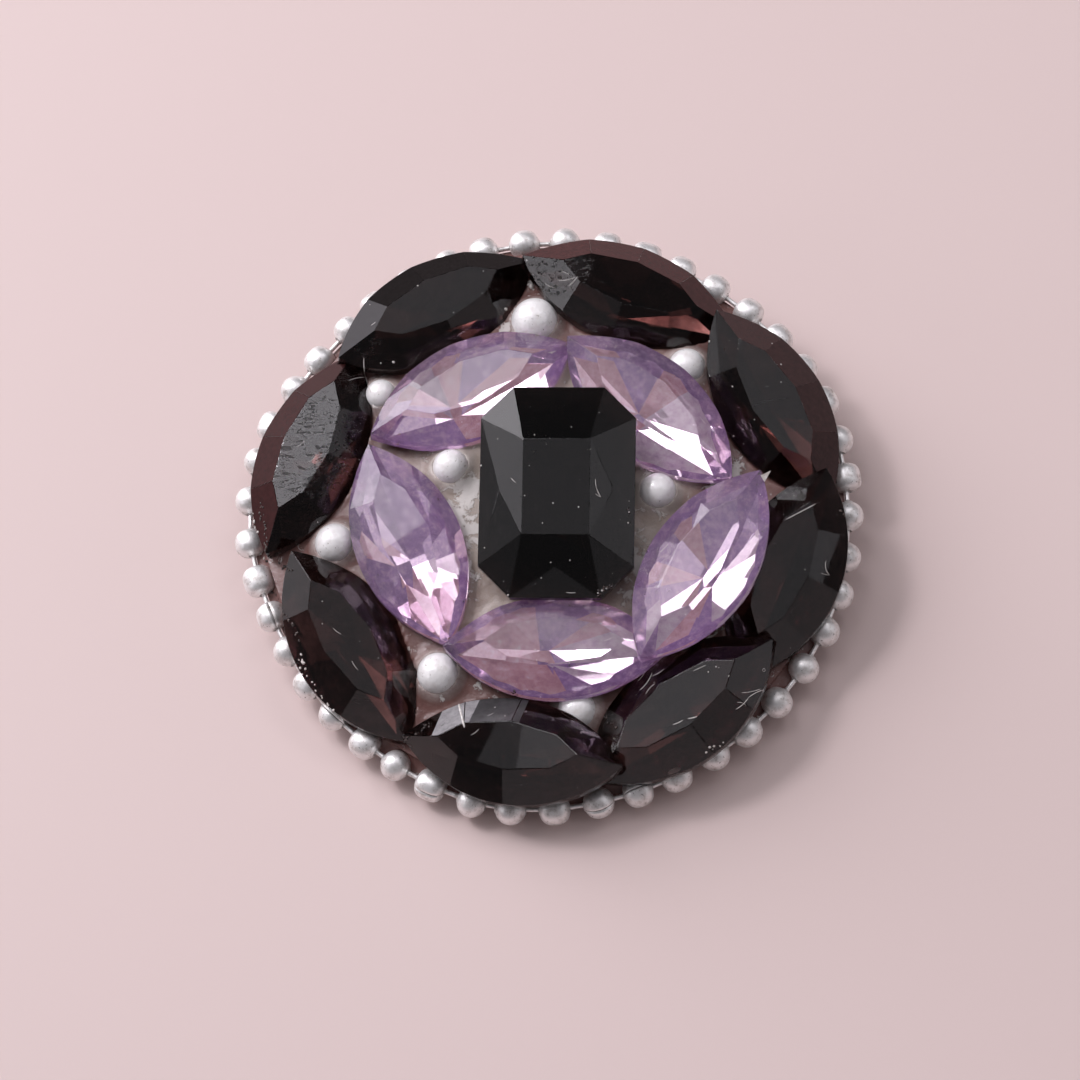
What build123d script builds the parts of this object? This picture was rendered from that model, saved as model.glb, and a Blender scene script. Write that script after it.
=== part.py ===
from build123d import *
import os
from math import sin, cos, tan, radians, sqrt, pi

os.makedirs("parts", exist_ok=True)

# Round saree pin, 52 mm across: eight dark glass navettes round five lilac ones
# and a black octagon, with flat-back pearls between, all set in a clear glue
# base with a ball chain round its edge and a bar pin on the back.
# Sizes are in millimetres.  The brooch is laid out face up in a flat frame
# (octagon's long side along Y, back at z = 0), then tipped as it rests.

# ------------------------------------------------------------ driving sizes
CHAIN_BALL = 2.4            # ball diameter of the chain round the edge
CHAIN_HEIGHT = 1.2          # height of the balls' centres over the back
BASE_EDGE_GAP = 0.10        # between the glue base and the chain
BASE_EDGE_HEIGHT = 2.1      # the base's upright edge
BASE_DOME = 5.0             # height of the base in the middle
POCKET_EASE = 1.012         # a pocket is this much larger than what sits in it
GIRDLE = 0.9                # thickness of a stone at its edge

NAVETTE_TABLE_HALF = 0.314  # table, as shares of a navette's length and width
NAVETTE_BREAK = 0.208       # where the table's side breaks, share of the length
NAVETTE_BREAK_W = 0.157     # half width there, share of the width
NAVETTE_WAIST_W = 0.228     # half width of the table in the middle
NAVETTE_KEEL = 0.02         # half length of the keel under it
MAIN_TOUCH = (0.0, 0.36, 0.64, 0.88)    # pavilion's long facets: where each nears the girdle
BREAK_TOUCH = (0.18, 0.50, 0.77)        # and its short ones, as shares of the half length
MAIN_DROP = 0.4             # the long facets pass this far under the girdle
BREAK_SHARE = 0.70          # and meet the short ones at this share of the way out

OUTER_CROWN, OUTER_DEPTH = 2.3, 2.3     # crown above and pavilion below the girdle
INNER_CROWN, INNER_DEPTH = 1.9, 2.4

OCT_LENGTH, OCT_WIDTH, OCT_CORNER = 17.5, 12.6, 2.6
OCT_TABLE_LENGTH, OCT_TABLE_WIDTH = 7.9, 5.4
OCT_CROWN, OCT_DEPTH, OCT_KEEL = 2.0, 3.5, 5.0
OCT_PEAK = 0.22             # each broad crown facet rises to a low peak of four triangles

PIN_Y = 11.0                # the bar pin sits this far above the middle
PIN_PLATE = (30.0, 5.0, 0.8)
PIN_WIRE = 0.9              # wire diameter
PIN_DROP = 2.2              # wire's middle below the back
PIN_SPAN = 25.0             # between hinge knuckle and catch
PIN_KNUCKLE = 1.8           # diameter of the rolled knuckle and catch
PIN_GAP = 0.05              # between the plate and the back

# ------------------------------------------------------------ short tables
# Route of the ball chain: angle from +X and distance from the middle.
CHAIN_ROUTE = [
    # angle, radius
    (0, 24.80), (20, 25.00), (40, 24.62), (60, 24.60), (80, 25.05), (100, 25.10),
    (120, 24.90), (140, 24.50), (160, 25.40), (180, 25.62), (200, 24.45), (220, 24.38),
    (240, 24.52), (260, 25.32), (280, 24.80), (300, 24.68), (320, 24.85), (340, 24.95),
]

# Navettes: middle of the girdle, heading of the long axis, how far the leading
# end dips (pitch) and the left side dips (roll), length and width.  Each outer
# stone rests its raised end on the stone before it.
NAVETTES = [
    # name,             x,      y,     z,    yaw,   pitch, roll, length, width
    ("outer_navette_1", -9.34, 17.69, 3.70, 28.9, 6.2, -2.0, 18.4, 8.9),
    ("outer_navette_2", 6.65, 18.62, 3.70, -19.1, 7.8, 4.0, 18.6, 8.7),
    ("outer_navette_3", 18.54, 8.27, 3.79, -60.9, 7.8, 1.5, 18.6, 8.7),
    ("outer_navette_4", 19.34, -6.15, 3.75, -112.6, 7.0, 1.3, 18.4, 9.1),
    ("outer_navette_5", 10.74, -17.45, 3.93, -145.2, 7.2, 0.5, 18.6, 9.1),
    ("outer_navette_6", -2.72, -20.60, 3.95, 169.7, 5.0, 3.5, 18.3, 8.7),
    ("outer_navette_7", -16.17, -11.27, 3.49, 121.0, -6.0, -1.3, 18.6, 9.0),
    ("outer_navette_8", -19.60, 5.50, 3.32, 68.0, 0.0, 1.5, 18.8, 8.8),
    ("inner_navette_1", -6.13, 10.04, 5.10, 24.4, 1.5, -1.0, 18.1, 8.7),
    ("inner_navette_2", 8.49, 7.92, 5.25, -43.2, 2.2, 0.2, 18.3, 8.7),
    ("inner_navette_3", 12.62, -6.17, 6.60, -122.8, 1.3, 0.3, 18.3, 8.8),
    ("inner_navette_4", 0.77, -12.34, 5.10, 178.6, -1.5, -0.2, 18.1, 8.6),
    ("inner_navette_5", -11.20, -3.16, 5.10, 111.3, -1.4, 0.2, 18.3, 8.8),
]

# Uppermost first: where two stones' thin rims would cross, the lower one is
# chipped back to clear the upper one, out of sight beneath it.
STACK = ["centre_octagon", "inner_navette_3", "inner_navette_2", "inner_navette_1",
         "inner_navette_4", "inner_navette_5", "outer_navette_6", "outer_navette_5",
         "outer_navette_4", "outer_navette_3", "outer_navette_2", "outer_navette_1",
         "outer_navette_7", "outer_navette_8", "pearl_1", "pearl_2", "pearl_3", "pearl_4",
         "pearl_5", "pearl_6", "pearl_7", "pearl_8"]

# The octagon: as above, with the lean of its face towards +X and +Y.
OCTAGON = dict(x=1.12, y=0.12, z=7.35, yaw=-1.7, lean_x=1.5, lean_y=-6.1)

# Flat-back pearls: middle, and radius.
PEARLS = [
    # name,      x,      y,     z,   radius
    ("pearl_1", -1.05, 16.56, 3.9, 1.95),
    ("pearl_2", 11.55, 12.10, 3.7, 1.55),
    ("pearl_3", 9.10, 0.89, 4.9, 1.50),
    ("pearl_4", -7.84, 3.52, 4.9, 1.50),
    ("pearl_5", -17.50, -2.36, 3.7, 1.65),
    ("pearl_6", -8.87, -13.79, 3.9, 1.70),
    ("pearl_7", 2.35, -17.05, 3.5, 1.60),
    ("pearl_8", -13.87, 10.53, 3.7, 1.30),
]


# ------------------------------------------------------------ shapes
def face_plane(p, q, r):
    """The plane through three points, facing away from the stone's middle."""
    p, q, r = Vector(*p), Vector(*q), Vector(*r)
    n = (q - p).cross(r - p).normalized()
    if n.dot(p) < 0:
        n = n * -1
    return Plane(origin=p, z_dir=n)


def cut_facets(rough, planes):
    """Cut a rough stone back to each facet plane in turn."""
    for plane in planes:
        rough = rough.split(plane, keep=Keep.BOTTOM)
    return rough


def navette(length, width, crown, depth):
    """A boat-shaped stone: table, eight crown facets, and a pavilion of long
    facets that run in to its lowest point and short ones along the girdle."""
    a, w, g = length / 2, width / 2, GIRDLE / 2
    top, low = g + crown, g + depth
    outline = make_face([
        ThreePointArc((-a, 0), (0, w), (a, 0)),
        ThreePointArc((a, 0), (0, -w), (-a, 0)),
    ])
    rough = Pos(0, 0, -low) * extrude(outline, top + low)
    bend = (a * a + w * w) / (2 * w)            # radius of each side's arc

    def edge(x, side):
        return side * (sqrt(bend * bend - x * x) - (bend - w))

    tip, brk = NAVETTE_TABLE_HALF * length, NAVETTE_BREAK * length
    rim = [(tip, 0), (brk, NAVETTE_BREAK_W * width), (0, NAVETTE_WAIST_W * width),
           (-brk, NAVETTE_BREAK_W * width), (-tip, 0)]
    # where each crown facet comes lowest on the girdle
    touch = [0.78 * a, 0.30 * a, -0.30 * a, -0.78 * a]
    planes = []
    for side in (1, -1):
        for (x0, y0), (x1, y1), tx in zip(rim, rim[1:], touch):
            ty = edge(tx, side)
            planes.append(face_plane((x0, side * y0, top), (x1, side * y1, top), (tx, ty, g)))
    keel = NAVETTE_KEEL * length
    for side in (1, -1):
        for touches, is_main in ((MAIN_TOUCH, True), (BREAK_TOUCH, False)):
            for share in [-t for t in touches if t] + list(touches):
                tx = share * a
                ty = edge(tx, side)
                slope = -side * tx / sqrt(bend * bend - tx * tx)
                kx = keel if tx > 0 else -keel if tx < 0 else 0
                if is_main:
                    z = -g - MAIN_DROP
                    inner = (kx, 0, -low)
                else:
                    z = -g
                    inner = (kx + BREAK_SHARE * (tx - kx), BREAK_SHARE * ty,
                             -low + BREAK_SHARE * (low - g - MAIN_DROP))
                planes.append(face_plane((tx, ty, z), (tx + 1, ty + slope, z), inner))
    return cut_facets(rough, planes)


def octagon():
    """An oblong with cut corners: small table, four broad and four corner facets."""
    a, b, c, g = OCT_WIDTH / 2, OCT_LENGTH / 2, OCT_CORNER, GIRDLE / 2
    top, low = g + OCT_CROWN, g + OCT_DEPTH
    tx, ty = OCT_TABLE_WIDTH / 2, OCT_TABLE_LENGTH / 2
    corners = [(a, b - c), (a - c, b), (c - a, b), (-a, b - c),
               (-a, c - b), (c - a, -b), (a - c, -b), (a, c - b)]
    rough = Pos(0, 0, -low) * extrude(make_face(Polyline(*corners, close=True)), top + low)
    planes = []
    for sx, sy in ((1, 1), (-1, 1), (-1, -1), (1, -1)):
        planes.append(face_plane((sx * tx, sy * ty, top), (sx * a, sy * (b - c), g), (sx * (a - c), sy * b, g)))
        planes.append(face_plane((0, sy * OCT_KEEL / 2, -low), (sx * a, sy * (b - c), -g), (sx * (a - c), sy * b, -g)))
    broad = []
    for s in (1, -1):
        broad.append([(s * tx, ty, top), (s * tx, -ty, top), (s * a, c - b, g), (s * a, b - c, g)])
        broad.append([(tx, s * ty, top), (-tx, s * ty, top), (c - a, s * b, g), (a - c, s * b, g)])
    for rim in broad:
        flat = face_plane(*rim[:3])
        middle = Vector(*[(rim[0][k] + rim[1][k] + rim[2][k] + rim[3][k]) / 4 for k in range(3)])
        peak = middle + flat.z_dir * OCT_PEAK
        for p, q in zip(rim, rim[1:] + rim[:1]):
            planes.append(face_plane(p, q, (peak.X, peak.Y, peak.Z)))
    for s in (1, -1):
        planes.append(face_plane((s * a, 1, -g), (s * a, -1, -g), (0, 0, -low)))
        planes.append(face_plane((1, s * b, -g), (-1, s * b, -g), (0, s * OCT_KEEL / 2, -low)))
    return cut_facets(rough, planes)


def seat(x, y, z, yaw, lean_x, lean_y):
    """Where a stone sits: its middle, its heading and the lean of its face."""
    n = Vector(lean_x, lean_y, 1).normalized()
    u = Vector(cos(radians(yaw)), sin(radians(yaw)), 0)
    u = (u - n * u.dot(n)).normalized()
    return Plane(origin=(x, y, z), x_dir=u, z_dir=n).location


def navette_seat(x, y, z, yaw, pitch, roll):
    c, s, p, r = cos(radians(yaw)), sin(radians(yaw)), tan(radians(pitch)), tan(radians(roll))
    return seat(x, y, z, yaw, p * c - r * s, p * s + r * c)


def pearl(radius):
    """A round pearl with a flat back."""
    return Sphere(radius).split(Plane.XY.offset(-0.62 * radius), keep=Keep.TOP)


def closed_route(inset=0.0):
    """The chain's route as straight runs joined by tangent arcs, in the flat."""
    pts = [((r - inset) * cos(radians(t)), (r - inset) * sin(radians(t))) for t, r in CHAIN_ROUTE]
    radii = []
    for i, p in enumerate(pts):
        q, r = Vector(*pts[i - 1]), Vector(*pts[(i + 1) % len(pts)])
        v = Vector(*p)
        turn = (v - q).get_angle(r - v)
        radii.append(0.45 * min((v - q).length, (r - v).length) / tan(radians(turn / 2)))
    return FilletPolyline(*pts, radius=radii, close=True)


# ------------------------------------------------------------ stones and pearls
pieces = {}
pockets = {}
for name, x, y, z, yaw, pitch, roll, length, width in NAVETTES:
    outer = name.startswith("outer")
    stone = navette(length, width, OUTER_CROWN if outer else INNER_CROWN,
                    OUTER_DEPTH if outer else INNER_DEPTH)
    place = navette_seat(x, y, z, yaw, pitch, roll)
    pieces[name] = place * stone
    pockets[name] = place * scale(stone, by=POCKET_EASE)

stone = octagon()
place = seat(OCTAGON["x"], OCTAGON["y"], OCTAGON["z"], OCTAGON["yaw"],
             tan(radians(OCTAGON["lean_x"])), tan(radians(OCTAGON["lean_y"])))
pieces["centre_octagon"] = place * stone
pockets["centre_octagon"] = place * scale(stone, by=POCKET_EASE)

for name, x, y, z, radius in PEARLS:
    pieces[name] = Pos(x, y, z) * pearl(radius)
    pockets[name] = Pos(x, y, z) * scale(pearl(radius), by=1 + 2 * (POCKET_EASE - 1))


def boxes_meet(p, q):
    a, b = p.bounding_box(), q.bounding_box()
    return all(l0 < h1 and l1 < h0 for l0, h0, l1, h1 in (
        (a.min.X, a.max.X, b.min.X, b.max.X),
        (a.min.Y, a.max.Y, b.min.Y, b.max.Y),
        (a.min.Z, a.max.Z, b.min.Z, b.max.Z)))


for i, lower in enumerate(STACK):
    for upper in STACK[:i]:
        if boxes_meet(pieces[lower], pockets[upper]):
            shared = pieces[lower].intersect(pockets[upper])
            if shared is not None and sum(s.volume for s in shared.solids()) > 1e-6:
                cut = (pieces[lower] - pockets[upper]).solids()
                pieces[lower] = max(cut, key=lambda s: s.volume)

# ------------------------------------------------------------ chain, base, pin
route = closed_route()
start = route @ 0
pieces["ball_chain"] = Pos(0, 0, CHAIN_HEIGHT) * sweep(
    Plane(origin=start, z_dir=route % 0) * Circle(CHAIN_BALL / 2), path=route)

edge = make_face(closed_route(CHAIN_BALL / 2 + BASE_EDGE_GAP))
slab = extrude(edge, BASE_DOME)
drop = BASE_DOME - BASE_EDGE_HEIGHT
dome_radius = (23.5 ** 2 + drop ** 2) / (2 * drop)
base = slab & (Pos(0, 0, BASE_DOME - dome_radius) * Sphere(dome_radius))
for name in STACK:
    base = base - pockets[name]
pieces["base"] = base.solids().sort_by(lambda s: s.volume)[-1]

plate_top = -PIN_GAP
plate = extrude(Pos(0, PIN_Y, plate_top) * RectangleRounded(PIN_PLATE[0], PIN_PLATE[1], 1.2), -PIN_PLATE[2])
wire = Pos(0, PIN_Y, -PIN_DROP) * (Rot(0, 90, 0) * Cylinder(PIN_WIRE / 2, PIN_SPAN))
bar_pin = plate + wire
for end in (-1, 1):
    roll = Pos(end * PIN_SPAN / 2, PIN_Y, -PIN_DROP) * (Rot(90, 0, 0) * Cylinder(PIN_KNUCKLE / 2, 2.6))
    web_top = plate_top - PIN_PLATE[2] / 2
    web = Pos(end * PIN_SPAN / 2, PIN_Y, (web_top - PIN_DROP) / 2) * Box(1.1, 2.6, web_top + PIN_DROP)
    bar_pin = bar_pin + roll + web
pieces["back_pin"] = bar_pin

# ------------------------------------------------------------ how it rests
# Laid on a table it leans on the pin's two ends and the lowest ball of the
# chain, so its upper edge is a few degrees high.
rim = [route @ (i / 360) for i in range(360)]


def lean_gap(lean):
    """How much higher the chain's lowest ball is than the pin, at this lean."""
    s, c = sin(radians(lean)), cos(radians(lean))
    chain_low = min(p.Y for p in rim) * s + CHAIN_HEIGHT * c - CHAIN_BALL / 2
    pin_low = PIN_Y * s - PIN_DROP * c - PIN_KNUCKLE / 2
    return chain_low - pin_low


low, high = 0.0, 15.0
for _ in range(40):
    lean = (low + high) / 2
    if lean_gap(lean) > 0:
        low = lean
    else:
        high = lean
tipped = {name: Rot(lean, 0, 0) * piece for name, piece in pieces.items()}
boxes = [p.bounding_box() for p in tipped.values()]
shift = Vector(-(min(b.min.X for b in boxes) + max(b.max.X for b in boxes)) / 2,
               -(min(b.min.Y for b in boxes) + max(b.max.Y for b in boxes)) / 2,
               -min(b.min.Z for b in boxes))
print("rest lean %.4f degrees, shift %.4f %.4f %.4f" % (lean, shift.X, shift.Y, shift.Z))

for name, piece in tipped.items():
    piece = Pos(shift.X, shift.Y, shift.Z) * piece
    solids = piece.solids()
    print(name, len(solids), "solid", "valid" if piece.is_valid else "NOT VALID")
    export_step(solids[0] if len(solids) == 1 else piece, f"parts/{name}.step")
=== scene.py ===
import bpy
import bmesh
import math
import random
from mathutils import Vector, Matrix, noise
from mathutils.bvhtree import BVHTree


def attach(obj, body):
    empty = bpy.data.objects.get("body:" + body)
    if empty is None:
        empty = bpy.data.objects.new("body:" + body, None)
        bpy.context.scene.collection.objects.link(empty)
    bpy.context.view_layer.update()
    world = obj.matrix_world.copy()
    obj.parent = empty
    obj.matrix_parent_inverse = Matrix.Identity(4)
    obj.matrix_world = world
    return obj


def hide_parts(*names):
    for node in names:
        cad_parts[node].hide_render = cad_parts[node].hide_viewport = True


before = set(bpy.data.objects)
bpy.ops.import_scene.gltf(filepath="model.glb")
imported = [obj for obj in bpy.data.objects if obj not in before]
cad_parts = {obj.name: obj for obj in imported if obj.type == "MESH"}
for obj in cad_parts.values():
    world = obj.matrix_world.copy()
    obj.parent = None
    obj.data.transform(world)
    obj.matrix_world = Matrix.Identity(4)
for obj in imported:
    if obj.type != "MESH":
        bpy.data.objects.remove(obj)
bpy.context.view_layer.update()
MM = 0.001

# ---------------------------------------------------------------- placing
# The brooch is laid out in a flat frame (back at z = 0, face up) and tipped as
# it rests; these repeat the tip and the shift of the solids.
LEAN = math.radians(4.9566)
SHIFT = Vector((0.3213, 0.1212, 2.2503))
FLAT = Matrix.Scale(MM, 4) @ Matrix.Translation(SHIFT) @ Matrix.Rotation(LEAN, 4, "X")
UNFLAT = FLAT.inverted()

# name, x, y, z, yaw, pitch, roll, length, width: the navettes, as in the solids
NAVETTES = [
    ("outer_navette_1", -9.34, 17.69, 3.70, 28.9, 6.2, -2.0, 18.4, 8.9),
    ("outer_navette_2", 6.65, 18.62, 3.70, -19.1, 7.8, 4.0, 18.6, 8.7),
    ("outer_navette_3", 18.54, 8.27, 3.79, -60.9, 7.8, 1.5, 18.6, 8.7),
    ("outer_navette_4", 19.34, -6.15, 3.75, -112.6, 7.0, 1.3, 18.4, 9.1),
    ("outer_navette_5", 10.74, -17.45, 3.93, -145.2, 7.2, 0.5, 18.6, 9.1),
    ("outer_navette_6", -2.72, -20.60, 3.95, 169.7, 5.0, 3.5, 18.3, 8.7),
    ("outer_navette_7", -16.17, -11.27, 3.49, 121.0, -6.0, -1.3, 18.6, 9.0),
    ("outer_navette_8", -19.60, 5.50, 3.32, 68.0, 0.0, 1.5, 18.8, 8.8),
    ("inner_navette_1", -6.13, 10.04, 5.10, 24.4, 1.5, -1.0, 18.1, 8.7),
    ("inner_navette_2", 8.49, 7.92, 5.25, -43.2, 2.2, 0.2, 18.3, 8.7),
    ("inner_navette_3", 12.62, -6.17, 6.60, -122.8, 1.3, 0.3, 18.3, 8.8),
    ("inner_navette_4", 0.77, -12.34, 5.10, 178.6, -1.5, -0.2, 18.1, 8.6),
    ("inner_navette_5", -11.20, -3.16, 5.10, 111.3, -1.4, 0.2, 18.3, 8.8),
]
OCTAGON = ("centre_octagon", 1.12, 0.12, 7.35, -1.7, 1.5, -6.1, 17.5, 12.6)
PEARLS = [
    ("pearl_1", -1.05, 16.56, 3.9, 1.95), ("pearl_2", 11.55, 12.10, 3.7, 1.55),
    ("pearl_3", 9.10, 0.89, 4.9, 1.50), ("pearl_4", -7.84, 3.52, 4.9, 1.50),
    ("pearl_5", -17.50, -2.36, 3.7, 1.65), ("pearl_6", -8.87, -13.79, 3.9, 1.70),
    ("pearl_7", 2.35, -17.05, 3.5, 1.60), ("pearl_8", -13.87, 10.53, 3.7, 1.30),
]


def at(x, y, z):
    """A point of the flat frame, in millimetres, as a place in the row frame."""
    return FLAT @ Vector((x, y, z))


def seat(x, y, z, yaw, lean_x, lean_y):
    """A stone's own frame (mm) in the flat frame, as in the solids."""
    n = Vector((lean_x, lean_y, 1)).normalized()
    u = Vector((math.cos(math.radians(yaw)), math.sin(math.radians(yaw)), 0))
    u = (u - n * u.dot(n)).normalized()
    v = n.cross(u)
    m = Matrix((u, v, n)).transposed().to_4x4()
    m.translation = (x, y, z)
    return m


def seat_of(row):
    name, x, y, z, yaw, p, r, length, width = row
    p, r = math.tan(math.radians(p)), math.tan(math.radians(r))
    if name == "centre_octagon":
        return seat(x, y, z, yaw, p, r)
    c, s = math.cos(math.radians(yaw)), math.sin(math.radians(yaw))
    return seat(x, y, z, yaw, p * c - r * s, p * s + r * c)


# ---------------------------------------------------------------- camera
TILT, SIDE = math.radians(19.7), math.radians(14.4)
REACH = 313.6
FOCAL = 3792.0              # in pixels of a 1080 pixel wide image
towards = Vector((math.sin(TILT) * math.sin(SIDE), -math.sin(TILT) * math.cos(SIDE), math.cos(TILT)))
cam_data = bpy.data.cameras.new("camera")
cam_data.sensor_width = 36.0
cam_data.sensor_fit = "HORIZONTAL"
cam_data.lens = 36.0 * FOCAL / 1080.0
cam_data.clip_start = 0.01
cam_data.clip_end = 10.0
cam = bpy.data.objects.new("camera", cam_data)
bpy.context.scene.collection.objects.link(cam)
eye = at(*(towards * REACH))
aim = at(-0.97, -1.32, 0.0)
fwd = (aim - eye).normalized()
up_hint = (at(0, 1, 0) - at(0, 0, 0)).normalized()
right = fwd.cross(up_hint).normalized()
up = right.cross(fwd).normalized()
cam.matrix_world = Matrix.Translation(eye) @ Matrix((right, up, -fwd)).transposed().to_4x4()
bpy.context.scene.camera = cam
bpy.context.scene.view_settings.view_transform = "Standard"


def sight(u, v):
    """The direction from the camera through a point of the 1080 pixel picture."""
    return (fwd * FOCAL + right * (u - 540.0) - up * (v - 540.0)).normalized()


# ---------------------------------------------------------------- nodes
class Mat:
    """A material and its node tree, with short calls to add to it."""

    def __init__(self, name):
        self.m = bpy.data.materials.new(name)
        self.m.use_nodes = True
        self.t = self.m.node_tree
        self.t.nodes.clear()
        self.out = self.t.nodes.new("ShaderNodeOutputMaterial")
        self.co = None

    def node(self, kind, **values):
        n = self.t.nodes.new(kind)
        for k, v in values.items():
            setattr(n, k, v)
        return n

    def link(self, a, b):
        self.t.links.new(a, b)

    def coords(self, scale=(1, 1, 1), turn=(0, 0, 0), shift=(0, 0, 0)):
        if self.co is None:
            self.co = self.node("ShaderNodeTexCoord")
        mp = self.node("ShaderNodeMapping")
        mp.inputs["Location"].default_value = shift
        mp.inputs["Rotation"].default_value = turn
        mp.inputs["Scale"].default_value = scale
        self.link(self.co.outputs["Object"], mp.inputs["Vector"])
        return mp.outputs["Vector"]

    def noise(self, size_mm, detail=3.0, rough=0.55, distort=0.0, **place):
        n = self.node("ShaderNodeTexNoise")
        n.inputs["Scale"].default_value = 1.0 / (size_mm * MM)
        n.inputs["Detail"].default_value = detail
        n.inputs["Roughness"].default_value = rough
        n.inputs["Distortion"].default_value = distort
        self.link(self.coords(**place), n.inputs["Vector"])
        return n.outputs["Fac"]

    def cells(self, size_mm, feature="F1", out="Distance", **place):
        n = self.node("ShaderNodeTexVoronoi", feature=feature)
        n.inputs["Scale"].default_value = 1.0 / (size_mm * MM)
        self.link(self.coords(**place), n.inputs["Vector"])
        return n.outputs[out]

    def near(self, place, reach_mm):
        """1 at a place of the flat frame, falling to 0 at the given distance."""
        d = self.node("ShaderNodeVectorMath", operation="DISTANCE")
        if self.co is None:
            self.co = self.node("ShaderNodeTexCoord")
        self.link(self.co.outputs["Object"], d.inputs[0])
        d.inputs[1].default_value = at(*place)
        return self.steps(d.outputs["Value"], [(0.0, 1.0), (1.0, 0.0)], span=reach_mm * MM)

    def steps(self, source, stops, span=1.0):
        """A number through a curve of (place, value) stops."""
        if span != 1.0:
            source = self.math("MULTIPLY", source, 1.0 / span)
        r = self.node("ShaderNodeValToRGB")
        el = r.color_ramp.elements
        while len(el) < len(stops):
            el.new(0.5)
        for e, (p, v) in zip(el, stops):
            e.position = p
            e.color = (v, v, v, 1.0) if not isinstance(v, tuple) else (*v, 1.0)
        self.link(source, r.inputs["Fac"])
        return r.outputs["Color"]

    def math(self, op, a, b=None, clamp=False):
        n = self.node("ShaderNodeMath", operation=op, use_clamp=clamp)
        for i, v in enumerate((a, b)):
            if v is None:
                continue
            if isinstance(v, (int, float)):
                n.inputs[i].default_value = v
            else:
                self.link(v, n.inputs[i])
        return n.outputs["Value"]

    def mix(self, fac, a, b):
        n = self.node("ShaderNodeMix", data_type="RGBA")
        for sock, v in ((n.inputs[0], fac), (n.inputs[6], a), (n.inputs[7], b)):
            if isinstance(v, tuple):
                sock.default_value = (*v, 1.0)
            elif isinstance(v, (int, float)):
                sock.default_value = v
            else:
                self.link(v, sock)
        return n.outputs[2]

    def bump(self, height, strength, depth_mm, after=None):
        b = self.node("ShaderNodeBump")
        b.inputs["Strength"].default_value = strength
        b.inputs["Distance"].default_value = depth_mm * MM
        self.link(height, b.inputs["Height"])
        if after is not None:
            self.link(after, b.inputs["Normal"])
        return b.outputs["Normal"]

    def scratches(self, turn, seed, gap_mm=1.0, width=0.007, patch_mm=3.0, cover=0.60):
        """Fine long scratches in patches, 1 on a scratch."""
        lines = self.noise(gap_mm, 0.0, 0.4, scale=(0.035, 1, 1), turn=(0, 0, turn), shift=(seed, seed, 0))
        lines = self.steps(lines, [(0.5 - width, 0.0), (0.5, 1.0), (0.5 + width, 0.0)])
        patch = self.noise(patch_mm, 1.0, 0.5, shift=(0, 3 * seed, seed))
        patch = self.steps(patch, [(cover, 0.0), (cover + 0.08, 1.0)])
        return self.math("MULTIPLY", lines, patch)

    def surface(self, links=(), **values):
        p = self.node("ShaderNodeBsdfPrincipled")
        for k, v in values.items():
            s = p.inputs[k.replace("_", " ")]
            if hasattr(v, "links") or hasattr(v, "is_linked"):
                self.link(v, s)
            elif isinstance(v, tuple) and len(v) == 3:
                s.default_value = (*v, 1.0) if s.type == "RGBA" else v
            else:
                s.default_value = v
        self.link(p.outputs["BSDF"], self.out.inputs["Surface"])
        return p

    def absorb(self, color, density):
        v = self.node("ShaderNodeVolumeAbsorption")
        v.inputs["Color"].default_value = (*color, 1.0)
        v.inputs["Density"].default_value = density
        self.link(v.outputs["Volume"], self.out.inputs["Volume"])


# places on the dark stones that are scuffed or pitted, and their reach
WORN = [((-19.6, 5.3, 6.6), 6.2), ((1.2, 20.6, 6.6), 3.6), ((-14.6, 13.5, 6.6), 1.8)]


def smoky_glass(worn_in):
    m = Mat("smoky_glass_worn" if worn_in else "smoky_glass")
    s = m.scratches(0.6, 0.013, cover=0.62)
    rough = m.math("MAXIMUM", m.math("MULTIPLY", s, 0.30), 0.012)
    more = {}
    if worn_in:
        worn = None
        for place, reach in WORN:
            n = m.near(place, reach)
            worn = n if worn is None else m.math("MAXIMUM", worn, n)
        worn = m.steps(worn, [(0.12, 0.0), (0.45, 1.0)])
        pits = m.steps(m.noise(0.34, 4.0, 0.74, scale=(0.42, 1, 1), turn=(0, 0, -0.62)), [(0.56, 0.0), (0.60, 1.0)])
        pits = m.math("MULTIPLY", pits, worn)
        rough = m.math("MAXIMUM", m.math("MAXIMUM", rough, m.math("MULTIPLY", worn, 0.11)), m.math("MULTIPLY", pits, 0.55))
        more["Normal"] = m.bump(pits, 0.4, -0.012)
    m.surface(Transmission_Weight=1.0, IOR=1.54, Roughness=rough, Base_Color=(1.0, 1.0, 1.0), **more)
    m.absorb((0.53, 0.42, 0.405), 620.0)
    return m.m


def dark_foil():
    m = Mat("smoky_back")
    c = m.steps(m.noise(1.4, 2.0, 0.6), [(0.35, (0.25, 0.150, 0.140)), (0.68, (0.45, 0.305, 0.29))])
    m.surface(Metallic=0.72, Roughness=0.07, Base_Color=c, IOR=1.8)
    return m.m


def lilac_glass():
    m = Mat("lilac_glass")
    s = m.scratches(1.1, 0.021, cover=0.62)
    rough = m.math("MAXIMUM", m.math("MULTIPLY", s, 0.3), 0.012)
    m.surface(Transmission_Weight=0.955, IOR=1.52, Roughness=rough, Base_Color=(0.98, 0.95, 1.0))
    m.absorb((0.84, 0.58, 0.79), 45.0)
    return m.m


# the lilac stones' backs: name, darkest to palest colour
LILAC_BACKS = [
    ("lilac_back", (0.31, 0.155, 0.42), (0.43, 0.245, 0.545), (0.63, 0.41, 0.70), (0.88, 0.73, 0.88)),
    ("lilac_back_pink", (0.62, 0.31, 0.40), (0.84, 0.47, 0.51), (0.93, 0.61, 0.64), (0.98, 0.82, 0.84)),
    ("lilac_back_pale", (0.60, 0.45, 0.60), (0.85, 0.71, 0.80), (0.94, 0.85, 0.90), (0.98, 0.94, 0.96)),
]


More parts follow.
